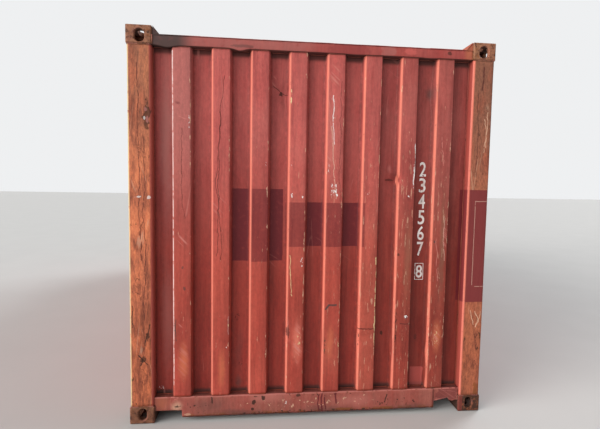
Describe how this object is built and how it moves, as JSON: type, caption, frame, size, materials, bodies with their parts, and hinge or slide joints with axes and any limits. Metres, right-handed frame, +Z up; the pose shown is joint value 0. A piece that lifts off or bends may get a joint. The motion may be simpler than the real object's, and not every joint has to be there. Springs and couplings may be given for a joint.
{
  "type": "shipping container",
  "caption": "Closed steel freight box with corrugated walls, corner castings, fork pockets and shut double doors, weathered red-brown paint",
  "frame": {"origin": "on the ground under the middle of the box", "axes": "+X across, to the right in the picture; +Y along, from the plain front end to the doors; +Z up"},
  "size_m": [2.438, 6.058, 2.591],
  "materials": {
    "casting_steel": "weathered paint and rust on cast steel",
    "post_paint": "faded red-brown paint, cracked and rusty",
    "frame_paint": "faded red-brown paint with rust",
    "sill_paint": "faded red-brown paint with rust spots and runs",
    "wall_paint": "faded red-brown paint with repaint patches",
    "roof_paint": "faded red-brown paint with dirt",
    "underframe_paint": "dark underframe coating",
    "floor_wood": "oiled plywood",
    "door_paint": "faded red-brown paint",
    "seal_rubber": "matte black rubber",
    "gear_steel": "painted steel, worn to rust and metal"
  },
  "bodies": {
    "root": {"casting_front_left_bottom": "casting_steel", "casting_front_right_bottom": "casting_steel", "casting_rear_left_bottom": "casting_steel", "casting_rear_right_bottom": "casting_steel", "casting_front_left_top": "casting_steel", "casting_front_right_top": "casting_steel", "casting_rear_left_top": "casting_steel", "casting_rear_right_top": "casting_steel", "front_post_left": "post_paint", "front_post_right": "post_paint", "front_header": "frame_paint", "rear_post_left": "frame_paint", "rear_post_right": "frame_paint", "door_header": "frame_paint", "door_sill": "frame_paint", "top_rail_left": "frame_paint", "top_rail_right": "frame_paint", "bottom_rail_left": "frame_paint", "bottom_rail_right": "frame_paint", "front_sill": "sill_paint", "front_sill_plate": "sill_paint", "front_wall": "wall_paint", "side_wall_left": "wall_paint", "side_wall_right": "wall_paint", "ventilators": "wall_paint", "roof": "roof_paint", "roof_corner_plates": "roof_paint", "cross_members": "underframe_paint", "fork_pocket_plates": "underframe_paint", "floor": "floor_wood", "door_left": "door_paint", "door_right": "door_paint", "door_seal_left": "seal_rubber", "door_seal_right": "seal_rubber", "lock_bar_1": "gear_steel", "lock_bar_2": "gear_steel", "lock_bar_3": "gear_steel", "lock_bar_4": "gear_steel", "lock_bar_guides": "gear_steel", "cam_keepers": "gear_steel", "handle_catches": "gear_steel", "hinge_lugs": "gear_steel", "hinge_blades": "gear_steel"}
  },
  "joints": []
}
